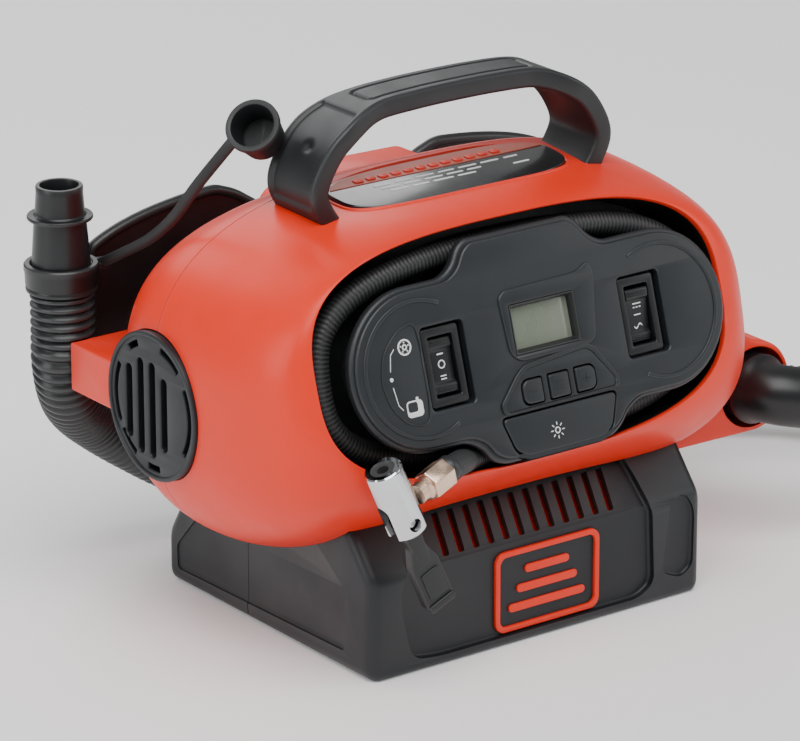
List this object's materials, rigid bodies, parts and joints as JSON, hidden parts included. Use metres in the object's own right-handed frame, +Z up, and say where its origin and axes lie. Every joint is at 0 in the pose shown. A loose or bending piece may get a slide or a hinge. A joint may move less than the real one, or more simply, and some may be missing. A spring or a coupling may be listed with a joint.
{
  "type": "portable tire inflator",
  "caption": "Portable tyre inflator: capsule body on a block base, carry handle, tilted control panel, stored air hose with clamp-on chuck, and a corrugated blower hose.",
  "frame": {"origin": "centre of the base's footprint, on the floor that the feet stand on", "axes": "+X to the right along the body as the control panel is faced, +Y away from the panel, +Z up"},
  "size_m": [0.399, 0.219, 0.2169],
  "materials": {
    "orange_plastic": "semi-gloss",
    "charcoal_plastic": "matte, fine texture",
    "black_plastic": "satin",
    "black_gloss": "gloss",
    "rubber": "matte",
    "display_glass": "gloss",
    "board_green": "satin",
    "hose_plastic": "satin, corrugated",
    "hose_rubber": "ribbed",
    "brass": "satin",
    "chrome": "polished",
    "steel": "satin",
    "gear_plastic": "satin",
    "cast_metal": "cast"
  },
  "bodies": {
    "housing": {"front_shell": "orange_plastic", "rear_shell": "orange_plastic", "port_socket": "orange_plastic", "end_grille": "charcoal_plastic", "base_front": "charcoal_plastic", "base_rear": "charcoal_plastic", "base_feet": "rubber", "front_emblem": "orange_plastic", "handle": "charcoal_plastic", "label_plate": "black_gloss", "label_stripe": "orange_plastic", "control_panel": "charcoal_plastic", "panel_hub": "black_plastic", "display_window": "display_glass", "display_module": "board_green", "power_switch_frame": "black_plastic", "source_switch_frame": "black_plastic", "button_board": "board_green", "cord_hub": "black_plastic", "cord_flange": "black_plastic", "hose_bracket": "orange_plastic", "nozzle": "black_plastic", "nozzle_collar": "black_plastic", "cap_strap": "rubber", "nozzle_cap": "rubber", "blower_hose": "hose_plastic", "hose_elbow": "black_plastic", "air_hose_coil": "hose_rubber", "air_hose_tail": "hose_rubber", "hose_ferrule": "brass", "chuck_barrel": "chrome", "chuck_seal": "rubber", "chuck_pin": "steel", "motor_can": "steel", "compressor_frame": "cast_metal", "cylinder": "cast_metal", "cylinder_head": "cast_metal", "blower_motor": "steel", "blower_scroll": "black_plastic", "power_board": "board_green", "transformer": "steel", "shell_screws": "steel"},
    "power_rocker": {"power_rocker": "black_plastic"},
    "source_rocker": {"source_rocker": "black_plastic"},
    "button_minus": {"button_minus": "charcoal_plastic"},
    "button_mode": {"button_mode": "charcoal_plastic"},
    "button_plus": {"button_plus": "charcoal_plastic"},
    "light_button": {"light_button": "charcoal_plastic"},
    "chuck_lever": {"chuck_lever": "black_plastic"},
    "motor_rotor": {"motor_shaft": "steel", "drive_pinion": "brass", "cooling_fan": "black_plastic"},
    "crank": {"crank_gear": "gear_plastic", "crank_shaft": "steel"},
    "piston": {"piston_rod": "cast_metal"},
    "blower_rotor": {"blower_impeller": "black_plastic"}
  },
  "joints": [
    {"name": "power_switch", "type": "hinge", "parent": "housing", "child": "power_rocker", "pos_m": [-0.0475, -0.06537, 0.12239], "axis": [1, 0, 0], "range_deg": [-12, 12]},
    {"name": "source_switch", "type": "hinge", "parent": "housing", "child": "source_rocker", "pos_m": [0.049, -0.06507, 0.12334], "axis": [1, 0, 0], "range_deg": [-16, 0]},
    {"name": "button_minus_press", "type": "slide", "parent": "housing", "child": "button_minus", "axis": [0, 0.9563, -0.2924], "range_m": [0, 0.0012], "stiffness_N_per_m": 400},
    {"name": "button_mode_press", "type": "slide", "parent": "housing", "child": "button_mode", "axis": [0, 0.9563, -0.2924], "range_m": [0, 0.0012], "stiffness_N_per_m": 400},
    {"name": "button_plus_press", "type": "slide", "parent": "housing", "child": "button_plus", "axis": [0, 0.9563, -0.2924], "range_m": [0, 0.0012], "stiffness_N_per_m": 400},
    {"name": "light_button_press", "type": "slide", "parent": "housing", "child": "light_button", "axis": [0, 0.9563, -0.2924], "range_m": [0, 0.0012], "stiffness_N_per_m": 400},
    {"name": "chuck_lever_flip", "type": "hinge", "parent": "housing", "child": "chuck_lever", "pos_m": [-0.08143, -0.09, 0.07476], "axis": [0, 1, 0], "range_deg": [0, 80]},
    {"name": "crank_turn", "type": "hinge", "parent": "housing", "child": "crank", "pos_m": [0, 0.01, 0.112], "axis": [1, 0, 0], "continuous": true},
    {"name": "motor_turn", "type": "hinge", "parent": "housing", "child": "motor_rotor", "pos_m": [0, 0.01, 0.087], "axis": [1, 0, 0], "continuous": true},
    {"name": "piston_stroke", "type": "slide", "parent": "housing", "child": "piston", "axis": [0, 0, 1], "range_m": [-0.008, 0.008]},
    {"name": "blower_turn", "type": "hinge", "parent": "housing", "child": "blower_rotor", "pos_m": [0, 0.01, 0.1], "axis": [1, 0, 0], "continuous": true}
  ],
  "couplings": [
    {"joint": "motor_turn", "follows": "crank_turn", "ratio": -4}
  ]
}
